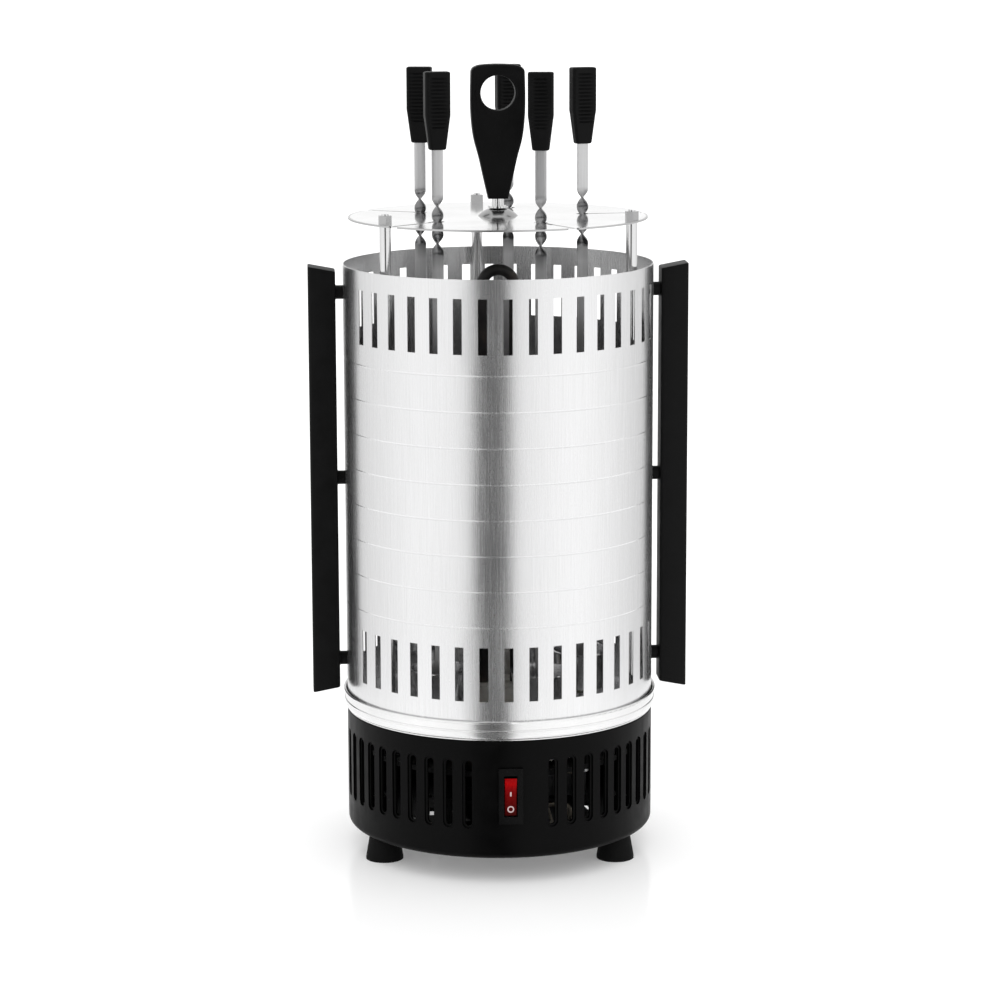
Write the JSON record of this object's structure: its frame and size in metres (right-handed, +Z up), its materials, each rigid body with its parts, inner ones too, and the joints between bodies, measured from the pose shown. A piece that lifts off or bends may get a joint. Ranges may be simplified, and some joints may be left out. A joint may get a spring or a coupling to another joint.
{
  "type": "rotisserie oven",
  "caption": "Upright electric skewer grill: lift-off slotted steel drum with side handles on a vented motor base, turning skewers around a central heating element.",
  "frame": {"origin": "on the surface it stands on, at the centre of the base", "axes": "+Z up along the drum's axis; the switch faces -Y; +X to the right as seen from the switch side"},
  "size_m": [0.2204, 0.1845, 0.4599],
  "materials": {
    "base_plastic": "moulded, satin black",
    "grip_plastic": "moulded, satin black",
    "foot_rubber": "matt black",
    "switch_plastic": "black",
    "rocker_red": "clear red, with white marks",
    "drum_steel": "brushed along the drum's height",
    "disc_steel": "mirror polished",
    "post_steel": "polished",
    "tray_steel": "bright pressed sheet",
    "cup_steel": "pressed stainless steel",
    "blade_steel": "ground flat strip",
    "heater_metal": "oxidised black tube",
    "white_ceramic": "fired, cream white",
    "gear_nylon": "natural nylon",
    "deck_plastic": "moulded, dark grey",
    "zinc_steel": "zinc plated",
    "bush_bronze": "sintered",
    "terminal_brass": "plain",
    "block_plastic": "moulded, cream",
    "lead_sleeve": "heat-proof sleeving"
  },
  "bodies": {
    "root": {"base_housing": "base_plastic", "base_cover": "base_plastic", "foot_1": "foot_rubber", "foot_2": "foot_rubber", "foot_3": "foot_rubber", "foot_screws": "zinc_steel", "switch_body": "switch_plastic", "switch_terminals": "terminal_brass", "cord_gland": "base_plastic", "terminal_block": "block_plastic", "drive_motor": "zinc_steel", "motor_screws": "zinc_steel", "gear_retainer": "zinc_steel", "gear_deck": "deck_plastic", "deck_screws": "zinc_steel", "shaft_bushes": "bush_bronze", "switch_leads": "lead_sleeve", "heater_leads": "lead_sleeve", "drip_tray": "tray_steel", "post_1": "post_steel", "post_2": "post_steel", "post_3": "post_steel", "post_nuts": "post_steel", "tray_nuts": "zinc_steel", "top_disc": "disc_steel", "disc_boss": "post_steel", "handle_stem": "post_steel", "stem_nut": "zinc_steel", "lift_handle": "grip_plastic", "heater_element": "heater_metal", "heater_socket": "white_ceramic"},
    "drive_gear": {"drive_gear": "gear_nylon"},
    "pinion": {"motor_shaft": "zinc_steel", "motor_pinion": "gear_nylon"},
    "drum": {"drum_shell": "drum_steel", "drum_handle_right": "grip_plastic", "drum_handle_left": "grip_plastic", "handle_screws": "zinc_steel"},
    "rocker": {"switch_rocker": "rocker_red"},
    "cup_1": {"cup_gear_1": "gear_nylon", "drip_cup_1": "cup_steel"},
    "skewer_1": {"skewer_blade_1": "blade_steel", "skewer_grip_1": "grip_plastic"},
    "cup_2": {"cup_gear_2": "gear_nylon", "drip_cup_2": "cup_steel"},
    "skewer_2": {"skewer_blade_2": "blade_steel", "skewer_grip_2": "grip_plastic"},
    "cup_3": {"cup_gear_3": "gear_nylon", "drip_cup_3": "cup_steel"},
    "skewer_3": {"skewer_blade_3": "blade_steel", "skewer_grip_3": "grip_plastic"},
    "cup_4": {"cup_gear_4": "gear_nylon", "drip_cup_4": "cup_steel"},
    "skewer_4": {"skewer_blade_4": "blade_steel", "skewer_grip_4": "grip_plastic"},
    "cup_5": {"cup_gear_5": "gear_nylon", "drip_cup_5": "cup_steel"},
    "skewer_5": {"skewer_blade_5": "blade_steel", "skewer_grip_5": "grip_plastic"}
  },
  "joints": [
    {"name": "drive_gear_spin", "type": "hinge", "parent": "root", "child": "drive_gear", "pos_m": [0, 0, 0.068], "axis": [0, 0, 1], "continuous": true},
    {"name": "motor_pinion_spin", "type": "hinge", "parent": "root", "child": "pinion", "pos_m": [-0.01564, 0.03353, 0.068], "axis": [0, 0, 1], "continuous": true},
    {"name": "cup_spin_1", "type": "hinge", "parent": "root", "child": "cup_1", "pos_m": [0.02113, -0.04532, 0.068], "axis": [0, 0, 1], "continuous": true},
    {"name": "cup_spin_2", "type": "hinge", "parent": "root", "child": "cup_2", "pos_m": [0.04963, 0.00609, 0.068], "axis": [0, 0, 1], "continuous": true},
    {"name": "cup_spin_3", "type": "hinge", "parent": "root", "child": "cup_3", "pos_m": [0.00954, 0.04908, 0.068], "axis": [0, 0, 1], "continuous": true},
    {"name": "cup_spin_4", "type": "hinge", "parent": "root", "child": "cup_4", "pos_m": [-0.04373, 0.02424, 0.068], "axis": [0, 0, 1], "continuous": true},
    {"name": "cup_spin_5", "type": "hinge", "parent": "root", "child": "cup_5", "pos_m": [-0.03657, -0.0341, 0.068], "axis": [0, 0, 1], "continuous": true},
    {"name": "skewer_lift_1", "type": "slide", "parent": "cup_1", "child": "skewer_1", "axis": [0, 0, 1], "range_m": [0, 0.38]},
    {"name": "skewer_lift_2", "type": "slide", "parent": "cup_2", "child": "skewer_2", "axis": [0, 0, 1], "range_m": [0, 0.38]},
    {"name": "skewer_lift_3", "type": "slide", "parent": "cup_3", "child": "skewer_3", "axis": [0, 0, 1], "range_m": [0, 0.38]},
    {"name": "skewer_lift_4", "type": "slide", "parent": "cup_4", "child": "skewer_4", "axis": [0, 0, 1], "range_m": [0, 0.38]},
    {"name": "skewer_lift_5", "type": "slide", "parent": "cup_5", "child": "skewer_5", "axis": [0, 0, 1], "range_m": [0, 0.38]},
    {"name": "drum_lift", "type": "slide", "parent": "root", "child": "drum", "axis": [0, 0, 1], "range_m": [0, 0.4]},
    {"name": "rocker_tilt", "type": "hinge", "parent": "root", "child": "rocker", "pos_m": [0, -0.0864, 0.0516], "axis": [-1, 0, 0], "range_deg": [0, 12]}
  ],
  "couplings": [
    {"joint": "motor_pinion_spin", "follows": "drive_gear_spin", "ratio": -4.2857},
    {"joint": "cup_spin_1", "follows": "drive_gear_spin", "ratio": -1.5},
    {"joint": "cup_spin_2", "follows": "drive_gear_spin", "ratio": -1.5},
    {"joint": "cup_spin_3", "follows": "drive_gear_spin", "ratio": -1.5},
    {"joint": "cup_spin_4", "follows": "drive_gear_spin", "ratio": -1.5},
    {"joint": "cup_spin_5", "follows": "drive_gear_spin", "ratio": -1.5}
  ]
}
